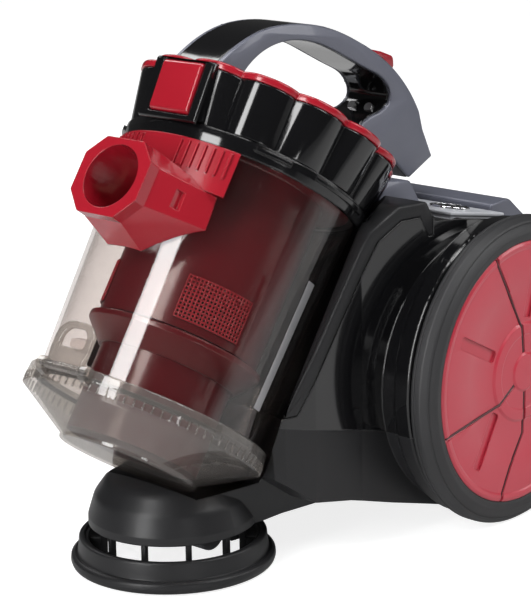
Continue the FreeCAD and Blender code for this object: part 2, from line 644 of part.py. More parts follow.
def fluted_wire(radius, depth, height):
    """Closed ring of arcs, one per flute, with its crests at the radius."""
    edges = []
    pitch = 360.0 / FLUTES
    for i in range(FLUTES):
        points = []
        for turn, r in ((-0.5, radius - depth), (0, radius), (0.5, radius - depth)):
            angle = math.radians((i + 0.5 + turn) * pitch)
            points.append(Vector(r * math.sin(angle), -r * math.cos(angle), height))
        edges.append(Part.Arc(*points).toShape())
    return Part.Wire(edges)


def fluted(low_r, high_r, depth, low, high):
    return Part.makeLoft([fluted_wire(low_r, depth, low), fluted_wire(high_r, depth, high)], True, True)


BEZEL = [(70, 162.6), (79.6, 162.6), (79.6, 159.5), (82.5, 159.5, 2), (86.0, 198, 2), (70, 198)]
bezel_block = side_cup(BEZEL, -23.5, 23.5)
button_pocket = side_cup([(74, 163.6), (95, 163.6), (95, 196.6), (74, 196.6)], -16.4, 16.4)
lid_body = fluted(LID_R_LOW, LID_R_TOP, 2.2, LID_LOW, LID_TOP)
hollow = turned([(0, LID_LOW - 1), (70, LID_LOW - 1), (73.5, 187, 3), (0, 187)])
deck_recess = turned([(0, 190.5), (76, 190.5, 2), (78, 202), (0, 202)])
lid = cut(lid_body, hollow, deck_recess, bezel_block)
lid = fuse([lid, tube(18, 13.5, Vector(0, 40, LID_LOW + 1), Vector(0, 40, 188))])
lid = cut(lid, block(-12, 12, 60, 90, 168, 186))
save("cup_lid", in_cup(lid))
trim = fluted(LID_R_TOP + 0.6, LID_R_TOP + 0.9, 2.6, LID_TOP, TRIM_TOP)
trim = cut(trim, Part.makeCylinder(77.2, 40, Vector(0, 0, LID_TOP - 10)), bezel_block)
save("lid_trim", in_cup(trim))
bezel_back = turned([(0, 150), (72, 150), (76, 205), (0, 205)])
save("button_bezel", in_cup(cut(bezel_block, button_pocket, bezel_back)))
button = side_cup([(78.5, 164.2), (84.0, 164.2, 3), (87.5, 196.2, 3), (78.5, 196.2)], -16, 16)
save("lid_button", in_cup(button))
lid_seal = turned([(69, 157.5, 0.8), (73.2, 157.5, 0.8), (73.2, LID_LOW), (69, LID_LOW)])
save("lid_seal", in_cup(lid_seal))

shroud_end = LID_LOW - 0.1
shroud = turned([(SHROUD_R - 2, SHROUD_LOW), (SHROUD_R, SHROUD_LOW), (SHROUD_R + 1, 156, 1), (69, 158.5),
                 (69, shroud_end), (SHROUD_R - 1, shroud_end)])
save("shroud", in_cup(shroud))
screens = [sector(SHROUD_R + 0.3, SHROUD_R + 1.4, 53, 81, start, start + 49) for start in (34, -83)]
save("shroud_screens", in_cup(fuse(screens)))
skirt = turned([(TUBE_R, 30), (44, 30), (55.5, 43, 1), (55.5, 46.5, 1), (TUBE_R, SHROUD_LOW)])
save("shroud_skirt", in_cup(skirt))
dust_tube = tube(TUBE_R, TUBE_R - 2, Vector(0, 0, TUBE_LOW), Vector(0, 0, SHROUD_LOW))
save("dust_tube", in_cup(dust_tube))
PLEATS = 24
pleat_points = []
for i in range(2 * PLEATS):
    radius = 44 if i % 2 == 0 else 35
    pleat_points.append((radius * math.cos(math.pi * i / PLEATS), radius * math.sin(math.pi * i / PLEATS)))
save("pleated_filter", in_cup(cut(plate(pleat_points, 60, 155), Part.makeCylinder(30, 200))))

# ---- handle -------------------------------------------------------------
# Side outlines as (forward, height) in the cup's axes, above the lid's rim.
RIM_L = 197.0
ARCH = [(80, -3), (68, 21), (54, 38), (30, 55.5), (2, 68), (-29, 75), (-60, 77.5), (-92, 73), (-110, 66)]
TAIL = [(-120, 58), (-139, 47.5), (-125.5, 25), (-104, 28), (-84, 10), (-74, -6.6)]
HOLE = [(56, 2), (44, 31), (31, 43), (6, 55), (-24, 61), (-50, 65), (-70, 65.5), (-78.5, 59), (-75, 49),
        (-65, 38), (-61, 26), (-63, 14), (-65, 2)]


def cup_points(points):
    return [Vector(0, -u, RIM_L + w) for u, w in points]


def spline(points):
    curve = Part.BSplineCurve()
    curve.interpolate(cup_points(points))
    return curve.toShape()


def straight(points):
    return [Part.LineSegment(a, b).toShape() for a, b in zip(points, points[1:])]


def handle_solid(half):
    tail = cup_points([ARCH[-1]] + TAIL + [(50, -6.6), (79, -6.6), ARCH[0]])
    outside = Part.Face(Part.Wire([spline(ARCH)] + straight(tail)))
    sill = cup_points([HOLE[-1], (-65, -2), (56, -2), HOLE[0]])
    finger = Part.Face(Part.Wire([spline(HOLE)] + straight(sill)))
    solid = outside.cut(finger).extrude(Vector(2 * half, 0, 0))
    solid.translate(Vector(-half, 0, 0))
    return solid


handle = handle_solid(HANDLE_HALF)
cheek_in = HANDLE_HALF - CHEEK
cheek_zone = block(-40, 40, -200, 200, 150, 330).cut(block(-cheek_in, cheek_in, -200, 200, 150, 330))
front_zone = side_cup([(68, -20), (120, -20), (120, 60), (68, 60)], -40, 40)
cheeks = cut(handle.common(cheek_zone), front_zone)
bezel_room = side_cup([(68, 150), (110, 150), (110, 198.2), (68, 198.2)], -24, 24)
core = cut(handle, cheeks, lid, trim, bezel_room)
cheeks = cut(cheeks, lid_body, trim, bezel_room)
button_well = side_cup([(-49, 68), (-49, 95), (-83, 95), (-83, 68)], -8.4, 8.4)
button_well.translate(Vector(0, 0, RIM_L))
core = core.cut(button_well)
release = side_cup([(-50, 72), (-50, 80, 3), (-66, 86, 6), (-78, 89, 4), (-82, 84, 2), (-82, 72)], -8, 8)
release.translate(Vector(0, 0, RIM_L))
SCREW_SPOT = [(7, 74, 50), (-7, 74, 50)]          # in the opening's rear wall, (x, rear, height)
screws = []
for x, rear, w in SCREW_SPOT:
    head = Vector(x, rear, RIM_L + w)
    screws.append(rod(3, head, head + Vector(0, 12, 0)))
core = cut(core, *screws)
save("handle_core", in_cup(core))
save("handle_cheeks", in_cup(cheeks))
save("cup_release", in_cup(release))
save("handle_screws", in_cup(Part.makeCompound(screws)))
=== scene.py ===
import json
import math
import bmesh
import bpy
from mathutils import Matrix, Vector


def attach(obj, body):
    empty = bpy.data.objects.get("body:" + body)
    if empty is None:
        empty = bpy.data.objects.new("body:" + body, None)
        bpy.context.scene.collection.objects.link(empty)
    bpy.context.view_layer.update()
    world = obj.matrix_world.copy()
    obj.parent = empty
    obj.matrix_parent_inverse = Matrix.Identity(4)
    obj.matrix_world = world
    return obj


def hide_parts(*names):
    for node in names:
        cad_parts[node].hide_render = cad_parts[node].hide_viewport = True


# A canister vacuum cleaner: two large wheels, a swivelling front foot, and a clear dust cup that
# leans back in a cradle under a fluted lid with a carrying handle. Metres, in the frame's axes.
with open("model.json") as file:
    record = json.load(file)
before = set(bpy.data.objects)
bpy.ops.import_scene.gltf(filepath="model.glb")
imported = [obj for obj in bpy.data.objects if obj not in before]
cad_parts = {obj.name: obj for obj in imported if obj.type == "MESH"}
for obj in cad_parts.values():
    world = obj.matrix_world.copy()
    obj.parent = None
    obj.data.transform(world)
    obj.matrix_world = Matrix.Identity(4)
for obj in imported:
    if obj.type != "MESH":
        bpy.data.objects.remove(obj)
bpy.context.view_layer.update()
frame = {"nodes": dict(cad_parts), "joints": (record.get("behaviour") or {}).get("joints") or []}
joints = {joint["name"]: joint for joint in frame["joints"]}

# ---- camera ----
# A long lens, a little above the machine's left front corner. It aims at the body just in front
# of the wheel axis, at about half the machine's height.
AXLE = Vector(joints["wheel_left_spin"]["pos_m"])
VIEW_TARGET = Vector((0, AXLE.y - 0.060, 0.120))
VIEW_AZIMUTH = math.radians(41.13)
VIEW_ELEVATION = math.radians(15.23)
VIEW_ROLL = math.radians(-0.54)
VIEW_DISTANCE = 1.5


def seen_from(azimuth, elevation, distance):
    """Place at a distance from the aim; the azimuth runs from the front towards +X."""
    flat = math.cos(elevation)
    toward = Vector((math.sin(azimuth) * flat, -math.cos(azimuth) * flat, math.sin(elevation)))
    return VIEW_TARGET + toward * distance


lens = bpy.data.cameras.new("camera")
lens.lens = 138.3
lens.sensor_width = 36.0
lens.shift_x = -0.0856
lens.shift_y = 0.0476
lens.clip_end = 50.0
camera = bpy.data.objects.new("camera", lens)
camera.location = seen_from(VIEW_AZIMUTH, VIEW_ELEVATION, VIEW_DISTANCE)
aim = (VIEW_TARGET - camera.location).to_track_quat("-Z", "Y").to_matrix()
camera.rotation_euler = (aim @ Matrix.Rotation(VIEW_ROLL, 3, "Z")).to_euler()
bpy.context.scene.collection.objects.link(camera)
bpy.context.scene.camera = camera
bpy.context.scene.view_settings.view_transform = "Standard"


# ---- studio ----
# Tall strip softboxes draw the long highlights on the cup and the gloss housing. The paper sweep
# is white, and the room is dark to anything glossy, so that black plastic stays black.
class Wire:
    """A socket that takes part in arithmetic; each operator adds one Math node."""

    def __init__(self, tree, socket):
        self.tree = tree
        self.socket = socket

    def math(self, operation, *others):
        inputs = dict(enumerate((self, *others)))
        return self.tree.node("ShaderNodeMath", {"operation": operation}, inputs)

    def flipped(self, operation, other):
        return self.tree.node("ShaderNodeMath", {"operation": operation}, {0: other, 1: self})

    def __add__(self, other):
        return self.math("ADD", other)

    def __sub__(self, other):
        return self.math("SUBTRACT", other)

    def __mul__(self, other):
        return self.math("MULTIPLY", other)

    def __truediv__(self, other):
        return self.math("DIVIDE", other)

    def __pow__(self, other):
        return self.math("POWER", other)

    def __rsub__(self, other):
        return self.flipped("SUBTRACT", other)

    def __rtruediv__(self, other):
        return self.flipped("DIVIDE", other)

    __radd__ = __add__
    __rmul__ = __mul__


class Tree:
    """A shader or geometry node tree, with one way to add a node."""

    def __init__(self, data):
        self.data = data

    def node(self, kind, settings, inputs, output=0):
        made = self.data.nodes.new(kind)
        for name, value in settings.items():
            setattr(made, name, value)
        for name, value in inputs.items():
            if isinstance(value, Wire):
                self.data.links.new(value.socket, made.inputs[name])
            else:
                made.inputs[name].default_value = value
        return Wire(self, made.outputs[output]) if made.outputs else made

    def tinted(self, factor, first, second):
        """Colour between two colours."""
        return self.node("ShaderNodeMix", {"data_type": "RGBA"}, {0: factor, 6: first, 7: second}, 2)


def softbox(name, azimuth, elevation, distance, width, height, power):
    light = bpy.data.lights.new(name, "AREA")
    light.shape = "RECTANGLE"
    light.size = width
    light.size_y = height
    light.energy = power
    lamp = bpy.data.objects.new(name, light)
    lamp.location = seen_from(math.radians(azimuth), math.radians(elevation), distance)
    lamp.rotation_euler = (VIEW_TARGET - lamp.location).to_track_quat("-Z", "Y").to_euler()
    bpy.context.scene.collection.objects.link(lamp)


softbox("window_left", 4, 20, 1.5, 0.42, 1.5, 22)
softbox("strip_right", 104, 46, 1.5, 0.26, 0.9, 9)
softbox("overhead", 30, 82, 1.5, 0.8, 0.5, 9)
softbox("side_fill", 135, 22, 1.9, 0.35, 1.2, 7)
softbox("rear_left", -95, 50, 1.9, 0.4, 1.2, 9)
softbox("front_low", 62, 3, 2.4, 0.5, 0.25, 3)

world = bpy.data.worlds.new("studio")
world.use_nodes = True
world.node_tree.nodes.clear()
room = Tree(world.node_tree)
seen = room.node("ShaderNodeLightPath", {}, {}, "Is Camera Ray")
bounced = room.node("ShaderNodeLightPath", {}, {}, "Is Diffuse Ray")
glow = room.node("ShaderNodeBackground", {}, {"Strength": 0.05 + 0.95 * seen + 0.35 * bounced})
room.node("ShaderNodeOutputWorld", {}, {"Surface": glow})
bpy.context.scene.world = world

paper_mesh = bpy.data.meshes.new("paper")
HALF_PAPER = 6.0
paper_mesh.from_pydata(
    [(-HALF_PAPER, -HALF_PAPER, 0), (HALF_PAPER, -HALF_PAPER, 0), (HALF_PAPER, HALF_PAPER, 0),
     (-HALF_PAPER, HALF_PAPER, 0)], [], [(0, 1, 2, 3)])
paper = bpy.data.objects.new("paper", paper_mesh)
bpy.context.scene.collection.objects.link(paper)
paper_white = bpy.data.materials.new("paper_white")
paper_white.use_nodes = True
paper_white.node_tree.nodes.clear()
sweep = Tree(paper_white.node_tree)
grain = sweep.node("ShaderNodeTexNoise", {}, {"Scale": 3.0})
lit = sweep.node("ShaderNodeLightPath", {}, {}, "Is Camera Ray")
sheet = sweep.node("ShaderNodeBsdfPrincipled", {}, {
    "Base Color": sweep.tinted(grain, (0.46, 0.46, 0.46, 1), (0.48, 0.48, 0.48, 1)),
    "Roughness": 0.9, "Emission Color": (1, 1, 1, 1), "Emission Strength": 0.10 + 0.72 * lit})
sweep.node("ShaderNodeOutputMaterial", {}, {"Surface": sheet})
paper_mesh.materials.append(paper_white)


# ---- housings ----
# The body is two thick injection mouldings that meet on a sloping line: a polished black upper
# shell and a spark-eroded, satin lower shell. Four screws from below hold them together.
MM = 0.001


def plastic(name, colour, shade, roughness, grain, edge, coat=0.0, metallic=0.0, shine=0.5):
    """Moulded plastic: slow clouds in the colour, a fine grain in the gloss, and eased edges."""
    material = bpy.data.materials.new(name)
    material.use_nodes = True
    material.node_tree.nodes.clear()
    tree = Tree(material.node_tree)
    place = tree.node("ShaderNodeTexCoord", {}, {}, "Object")
    cloud = tree.node("ShaderNodeTexNoise", {}, {"Vector": place, "Scale": 22.0, "Detail": 4.0})
    fine = tree.node("ShaderNodeTexNoise", {}, {"Vector": place, "Scale": 1400.0, "Detail": 2.0})
    rub = tree.node("ShaderNodeTexNoise", {}, {"Vector": place, "Scale": 70.0, "Detail": 6.0})
    eased = tree.node("ShaderNodeBevel", {"samples": 6}, {"Radius": edge})
    bump = tree.node("ShaderNodeBump", {}, {"Strength": 0.6, "Distance": grain, "Height": fine,
                                            "Normal": eased})
    surface = tree.node("ShaderNodeBsdfPrincipled", {}, {
        "Base Color": tree.tinted(cloud, (*colour, 1), (*shade, 1)),
        "Roughness": roughness * (0.85 + 0.3 * rub),
        "Metallic": metallic, "Specular IOR Level": shine, "Coat Weight": coat, "Coat Roughness": 0.04,
        "Normal": bump})
    tree.node("ShaderNodeOutputMaterial", {}, {"Surface": surface})
    return material


def dress(material, *nodes):
    """Give a finish to nodes whose shape stays as it is."""
    for node in nodes:
        for held in frame["nodes"][node].material_slots:
            held.material = material


def piece(name, mesh, place, material, sharp=35):
    """Put a mesh in its place, close it, turn it outwards and give it its finish."""
    shell = bmesh.new()
    shell.from_mesh(mesh)
    bmesh.ops.transform(shell, matrix=place, verts=shell.verts)
    bmesh.ops.remove_doubles(shell, verts=shell.verts, dist=0.000002)
    bmesh.ops.dissolve_degenerate(shell, edges=shell.edges, dist=0.000001)
    bmesh.ops.recalc_face_normals(shell, faces=shell.faces)
    shell.to_mesh(mesh)
    shell.free()
    mesh.materials.clear()
    mesh.materials.append(material)
    mesh.shade_smooth()
    mesh.set_sharp_from_angle(angle=math.radians(sharp))
    made = bpy.data.objects.new(name, mesh)
    bpy.context.scene.collection.objects.link(made)
    return made


def applied(subject):
    """The subject's mesh with its modifiers worked in, and the modifiers gone."""
    bpy.context.view_layer.update()
    mesh = bpy.data.meshes.new_from_object(subject.evaluated_get(bpy.context.evaluated_depsgraph_get()))
    subject.modifiers.clear()
    return mesh


def add(made, body, slot, *nodes):
    """Fix a finished piece to its body, in place of the plain nodes it stands for."""
    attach(made, body)
    if nodes:
        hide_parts(*nodes)
    return made


def softened(name, body, slot, material, node, width, weld):
    """Copy of a node with its mesh joined up and every sharp edge rounded, standing for the node."""
    mesh = frame["nodes"][node].data.copy()
    shell = bmesh.new()
    shell.from_mesh(mesh)
    bmesh.ops.remove_doubles(shell, verts=shell.verts, dist=weld * MM)
    bmesh.ops.dissolve_degenerate(shell, edges=shell.edges, dist=0.01 * MM)
    flat = math.radians(1.5)
    bmesh.ops.dissolve_limit(shell, angle_limit=flat, verts=shell.verts, edges=shell.edges)
    shell.to_mesh(mesh)
    shell.free()
    holder = bpy.data.objects.new("holder", mesh)
    bpy.context.scene.collection.objects.link(holder)
    rounding = holder.modifiers.new("rounding", "BEVEL")
    rounding.width = width * MM
    rounding.segments = 3
    rounding.limit_method = "ANGLE"
    rounding.angle_limit = math.radians(35)
    rounding.use_clamp_overlap = False
    mesh = applied(holder)
    bpy.data.objects.remove(holder)
    return add(piece(name, mesh, Matrix(), material), body, slot, node)


gloss_black = plastic("gloss_black", (0.003, 0.003, 0.0035), (0.005, 0.005, 0.0055), 0.09, 0.000002, 0.0016,
                      coat=0.3)
satin_black = plastic("satin_black", (0.010, 0.010, 0.011), (0.015, 0.015, 0.016), 0.38, 0.00002, 0.0012,
                      shine=0.30)
slate_grey = plastic("slate_grey", (0.105, 0.110, 0.140), (0.125, 0.130, 0.165), 0.36, 0.00001, 0.0014,
                     coat=0.25, metallic=0.25)
light_grey = plastic("light_grey", (0.42, 0.43, 0.46), (0.48, 0.49, 0.52), 0.30, 0.00001, 0.001, coat=0.2)
gloss_red = plastic("gloss_red", (0.26, 0.005, 0.013), (0.30, 0.008, 0.018), 0.22, 0.000004, 0.0010,
                    coat=0.4)
steel = plastic("steel", (0.55, 0.55, 0.56), (0.62, 0.62, 0.63), 0.28, 0.000006, 0.0003, metallic=1.0)
chrome = plastic("chrome", (0.80, 0.80, 0.82), (0.86, 0.86, 0.88), 0.07, 0.000001, 0.0004, metallic=1.0)
inner_plastic = plastic("inner_plastic", (0.10, 0.10, 0.11), (0.14, 0.14, 0.15), 0.5, 0.00003, 0.0005)
seal_rubber = plastic("seal_rubber", (0.018, 0.018, 0.019), (0.03, 0.03, 0.03), 0.75, 0.00004, 0.0005)

dress(gloss_black, "upper_housing")
dress(satin_black, "lower_housing")
softened("rounded_cradle_rim", "base", "satin_black", satin_black, "cradle_rim", 1.2, 0.3)
softened("rounded_neck", "base", "slate_grey", slate_grey, "intake_neck", 1.2, 0.3)
softened("rounded_hood", "base", "slate_grey", slate_grey, "exhaust_grille", 1.0, 0.3)
softened("rounded_panel", "base", "light_grey", light_grey, "top_panel", 0.8, 0.2)
dress(chrome, "button_rings")
dress(satin_black, "power_button", "rewind_button", "cord_outlet")
dress(steel, "housing_screws")

# ---- motor, filters, cord reel and board ----
# The works sit inside the drum: a fan on a motor in rubber cushions, foam filters, the cord reel
# on its spindle, and the speed board.
stator_iron = plastic("stator_iron", (0.30, 0.16, 0.09), (0.38, 0.22, 0.12), 0.45, 0.00005, 0.0003,
                      metallic=0.7)
filter_foam = plastic("filter_foam", (0.30, 0.30, 0.31), (0.42, 0.42, 0.42), 0.95, 0.0004, 0.0008)
circuit_board = plastic("circuit_board", (0.02, 0.16, 0.06), (0.03, 0.22, 0.09), 0.4, 0.00002, 0.0003)
dress(inner_plastic, "fan_housing", "intake_duct", "cord_reel", "motor_bracket")
dress(steel, "motor_can", "rotor", "impeller", "reel_spindle", "axle_stubs", "axle_screws")
dress(stator_iron, "stator")
dress(seal_rubber, "motor_cushions")
dress(filter_foam, "pre_motor_filter", "exhaust_filter")
dress(circuit_board, "control_board")

# ---- wheels ----
# Each wheel is a hollow plastic rim with a soft tyre over its edge and a red cap pressed into it.
# The cap has a raised hub, five moulded pockets and five grooves; a dark bar in each groove's floor is
# painted shade.
def stand(origin, x, y, z):
    """Matrix from millimetres on three axes to the frame."""
    columns = [Vector(axis).normalized() * MM for axis in (x, y, z)]
    rows = [(columns[0][i], columns[1][i], columns[2][i], origin[i]) for i in range(3)]
    return Matrix(rows + [(0, 0, 0, 1)])


def rounded(corners, steps=6):
    """Closed outline from (x, y) or (x, y, corner radius), with each round corner as an arc."""
    points = []
    for i, corner in enumerate(corners):
        here = Vector(corner[:2])
        if len(corner) == 2:
            points.append(here)
            continue
        back = (Vector(corners[i - 1][:2]) - here).normalized()
        on = (Vector(corners[(i + 1) % len(corners)][:2]) - here).normalized()
        half = back.angle(on) / 2
        middle = here + (back + on).normalized() * (corner[2] / math.sin(half))
        start = here + back * (corner[2] / math.tan(half)) - middle
        end = here + on * (corner[2] / math.tan(half)) - middle
        turn = math.pi - 2 * half
        for k in range(steps + 1):
            t = k / steps
            blend = start * math.sin((1 - t) * turn) + end * math.sin(t * turn)
            points.append(middle + blend / math.sin(turn))
    return points


def lathe_mesh(corners, segments=160):
    """Closed outline of (radius, height), turned once about the axis."""
    outline = rounded(corners)
    vertices = []
    for point in outline:
        for k in range(segments):
            angle = 2 * math.pi * k / segments
            vertices.append((point.x * math.sin(angle), -point.x * math.cos(angle), point.y))
    faces = []
    for i in range(len(outline)):
        here = i * segments
        there = (i + 1) % len(outline) * segments
        for k in range(segments):
            after = (k + 1) % segments
            faces.append((here + k, here + after, there + after, there + k))
    mesh = bpy.data.meshes.new("turned")
    mesh.from_pydata(vertices, [], faces)
    return mesh


def slab_mesh(outlines, low, high, edge=0.0):
    """Plate from closed outlines, the rim first and then any holes, with rounded edges."""
    curve = bpy.data.curves.new("outline", "CURVE")
    curve.dimensions = "2D"
    curve.fill_mode = "BOTH"
    curve.extrude = (high - low) / 2 - edge
    curve.bevel_depth = edge
    curve.bevel_resolution = 3
    curve.offset = -edge
    for outline in outlines:
        spline = curve.splines.new("POLY")
        spline.points.add(len(outline) - 1)
        for point, (x, y) in zip(spline.points, outline):
            point.co = (x, y, 0, 1)
        spline.use_cyclic_u = True
    holder = bpy.data.objects.new("outline", curve)
    mesh = bpy.data.meshes.new_from_object(holder)
    bpy.data.objects.remove(holder)
    mesh.transform(Matrix.Translation((0, 0, (low + high) / 2)))
    return mesh


def cut_away(mesh, tools):
    """Subtract closed meshes from a mesh."""
    subject = piece("subject", mesh, Matrix(), gloss_black)
    cutters = []
    for tool in tools:
        cutters.append(piece("cutter", tool, Matrix(), gloss_black))
        boolean = subject.modifiers.new("cut", "BOOLEAN")
        boolean.operation = "DIFFERENCE"
        boolean.solver = "EXACT"
        boolean.object = cutters[-1]
    left = applied(subject)
    for item in [subject, *cutters]:
        bpy.data.objects.remove(item)
    return left


tyre_rubber = plastic("tyre_rubber", (0.012, 0.012, 0.013), (0.022, 0.022, 0.024), 0.55, 0.00004, 0.0006)
cap_red = plastic("cap_red", (0.42, 0.022, 0.042), (0.48, 0.030, 0.054), 0.34, 0.000006, 0.0007, coat=0.3)
# Near-black red for the bars laid in the cap's grooves: painted shade, not a colour of the cap.
groove_shade_red = plastic("groove_shade_red", (0.045, 0.001, 0.004), (0.070, 0.002, 0.006), 0.4, 0.000006, 0.0003)
TYRE = [(85, 109), (97, 108, 2), (100, 110.5, 2), (100, 112.2), (99.3, 112.5), (99.3, 113.5), (100, 113.8),
        (100, 117, 3), (97.6, 120.6, 1.5), (96.4, 121.3), (95.8, 120.9), (95.2, 121.7), (90, 123.5, 2.5),
        (86.6, 122.9, 0.8), (85, 122.2, 0.5)]
CAP = [(0, 121.0), (12, 121.0), (31, 120.0), (78, 119.4), (80.6, 119.6), (84.9, 119.6), (84.9, 122.2, 0.4),
       (82.8, 122.9, 0.7), (80.6, 122.5, 0.6), (79.4, 121.9, 0.5), (57.5, 122.3), (56.8, 122.0),
       (32.8, 122.2, 0.4), (31.2, 123.3, 0.6), (25, 123.5, 0.5), (24.3, 123.2, 0.4), (12.8, 123.3, 0.4),
       (11.5, 124.2, 0.6), (0, 124.3)]
SEAMS = [[(86, 69), (58, 73), (30, 84), (13, 84)], [(86, -18), (57, -22), (31, -32), (13, -32)],
         [(86, -74), (62, -78), (41, -90), (13, -90)], [(86, 126), (58, 130), (30, 142), (13, 142)],
         [(86, 206), (13, 206)]]
SLOTS = [(53.5, 27, 0), (54, 99, 8), (53.5, 166, 0), (53.5, 246, 0), (54, -44, -15)]


def on_face(radius, angle, height):
    """Point on the wheel's face; the angle runs from the front upwards."""
    turn = math.radians(angle)
    return Vector((radius * math.cos(turn), radius * math.sin(turn), height))


def seam_bar(stations, thickness, sink):
    """Round bar that follows a seam, sunk below the cap's face."""
    curve = bpy.data.curves.new("seam", "CURVE")
    curve.dimensions = "3D"
    curve.bevel_depth = thickness
    curve.bevel_resolution = 3
    curve.use_fill_caps = True
    spline = curve.splines.new("POLY")
    spline.points.add(len(stations) - 1)
    for point, (radius, angle) in zip(spline.points, stations):
        face = 122.5 if radius > 32 else 123.5
        point.co = (*on_face(radius, angle, face - sink), 1)
    holder = bpy.data.objects.new("seam", curve)
    mesh = bpy.data.meshes.new_from_object(holder)
    bpy.data.objects.remove(holder)
    return mesh


def slot_cutter(radius, angle, lean):
    """Rounded pocket, 38 by 8."""
    mesh = slab_mesh([rounded([(-19, -4, 2), (19, -4, 2), (19, 4, 2), (-19, 4, 2)])], 120.6, 126)
    turn = Matrix.Rotation(math.radians(angle + lean), 4, "Z")
    mesh.transform(Matrix.Translation(on_face(radius, angle, 0)) @ turn)
    return mesh


for side, out in (("left", 1), ("right", -1)):
    wheel = stand((0, AXLE.y, AXLE.z), (0, -1, 0), (0, 0, 1), (out, 0, 0))
    body = f"wheel_{side}"
    tyre = piece(f"tyre_tread_{side}", lathe_mesh(TYRE), wheel, tyre_rubber)
    add(tyre, body, "tyre_rubber", f"tyre_{side}")
    tools = [seam_bar(stations, 1.5, 0) for stations in SEAMS] + [slot_cutter(*slot) for slot in SLOTS]
    cap = piece(f"hub_face_{side}", cut_away(lathe_mesh(CAP), tools), wheel, cap_red, 30)
    add(cap, body, "gloss_red", f"hub_cap_{side}")
    # A dark bar sunk in each groove's floor: painted shade that darkens the groove.
    for number, stations in enumerate(SEAMS):
        short = [(min(radius, 83.5), angle) for radius, angle in stations]
        line = piece(f"groove_shade_line_{side}_{number}", seam_bar(short, 0.95, 1.2), wheel, groove_shade_red)
        add(line, body, "gloss_red")
    dress(inner_plastic, f"rim_{side}")

# ---- swivelling foot ----
# A moulded ring turns under the nose on one pin. Ten posts join it to the disc that the pin holds,
# and a small roller trails behind the pin between two fork plates.
FOOT = Vector(joints["foot_swivel"]["pos_m"])
foot = stand((0, FOOT.y, 0), (1, 0, 0), (0, 1, 0), (0, 0, 1))


def bar_ring(count, radius, size, height, start):
    """Upright bars evenly spaced on a circle, as one plain mesh."""
    group = bpy.data.node_groups.new("bar ring", "GeometryNodeTree")
    sockets = {}
    for name, kind in (("Count", "Int"), ("Radius", "Float"), ("Size", "Vector"), ("Height", "Float"),
                       ("Start", "Float")):
        socket_type = f"NodeSocket{kind}"
        sockets[name] = group.interface.new_socket(name=name, in_out="INPUT", socket_type=socket_type)
    group.interface.new_socket(name="Geometry", in_out="OUTPUT", socket_type="NodeSocketGeometry")
    tree = Tree(group)
    given = {name: tree.node("NodeGroupInput", {}, {}, name) for name in sockets}
    line = tree.node("GeometryNodeMeshLine", {}, {"Count": given["Count"]})
    step = tree.node("GeometryNodeInputIndex", {}, {})
    turn = given["Start"] + step * (2 * math.pi) / given["Count"]
    spot = tree.node("ShaderNodeCombineXYZ", {}, {
        0: given["Radius"] * turn.math("COSINE"), 1: given["Radius"] * turn.math("SINE"),
        2: given["Height"]})
    points = tree.node("GeometryNodeSetPosition", {}, {"Geometry": line, "Position": spot})
    bar = tree.node("GeometryNodeMeshCube", {}, {"Size": given["Size"]})
    facing = tree.node("ShaderNodeCombineXYZ", {}, {2: turn})
    placed = tree.node("GeometryNodeInstanceOnPoints", {}, {
        "Points": points, "Instance": bar, "Rotation": facing})
    real = tree.node("GeometryNodeRealizeInstances", {}, {"Geometry": placed})
    finished = tree.node("GeometryNodeSetMaterial", {}, {"Geometry": real, "Material": satin_black})
    tree.node("NodeGroupOutput", {}, {"Geometry": finished})
    holder = bpy.data.objects.new("bars", bpy.data.meshes.new("bars"))
    bpy.context.scene.collection.objects.link(holder)
    nodes = holder.modifiers.new("bars", "NODES")
    nodes.node_group = group
    for name, value in (("Count", count), ("Radius", radius), ("Size", size), ("Height", height),
                        ("Start", start)):
        nodes[sockets[name].identifier] = value
    soften = holder.modifiers.new("soften", "BEVEL")
    soften.width = 0.35
    soften.segments = 2
    mesh = applied(holder)
    bpy.data.objects.remove(holder)
    return mesh


RING = [(52, 1.5, 0.6), (62.5, 1.5, 1.8), (63.5, 4.5, 2), (63.2, 7.6, 2), (60.6, 9.4, 0.8), (60.0, 8.6),
        (59.2, 9.2), (58.8, 12, 1), (58, 20, 1.6), (54.5, 20, 0.8), (54.2, 18.6), (52, 18.4, 0.8)]
DISC = [(5, 29.2), (46, 29.2, 0.8), (46, 32.2, 0.8), (5, 32.2)]
ring = piece("foot_ring", lathe_mesh(RING), foot, satin_black)
add(ring, "swivel_foot", "satin_black", "swivel_ring")
add(piece("foot_disc", lathe_mesh(DISC), foot, satin_black), "swivel_foot", "satin_black")
POSTS = 10
FIRST_POST = math.radians(-90 + 21)
posts = bar_ring(POSTS, 43, (4, 3.2, 26), 17, FIRST_POST)
add(piece("foot_posts", posts, foot, satin_black), "swivel_foot", "satin_black")
webs = bar_ring(POSTS, 47.8, (9.6, 2.4, 11), 9.5, FIRST_POST)
add(piece("foot_webs", webs, foot, satin_black), "swivel_foot", "satin_black")
ROLLER_FORK = [(19, 30), (23, 7, 4), (33, 7, 4), (37, 30)]
fork_side = stand((0, FOOT.y, 0), (0, 1, 0), (0, 0, 1), (1, 0, 0))
FORK_THICK = 3.0
for name, low in (("fork_left", 7.6), ("fork_right", -10.6)):
    fork = slab_mesh([rounded(ROLLER_FORK)], low, low + FORK_THICK, 0.4)
    add(piece(name, fork, fork_side, satin_black), "swivel_foot", "satin_black")
dress(steel, "roller_axle", "swivel_pin")
dress(inner_plastic, "caster_roller")

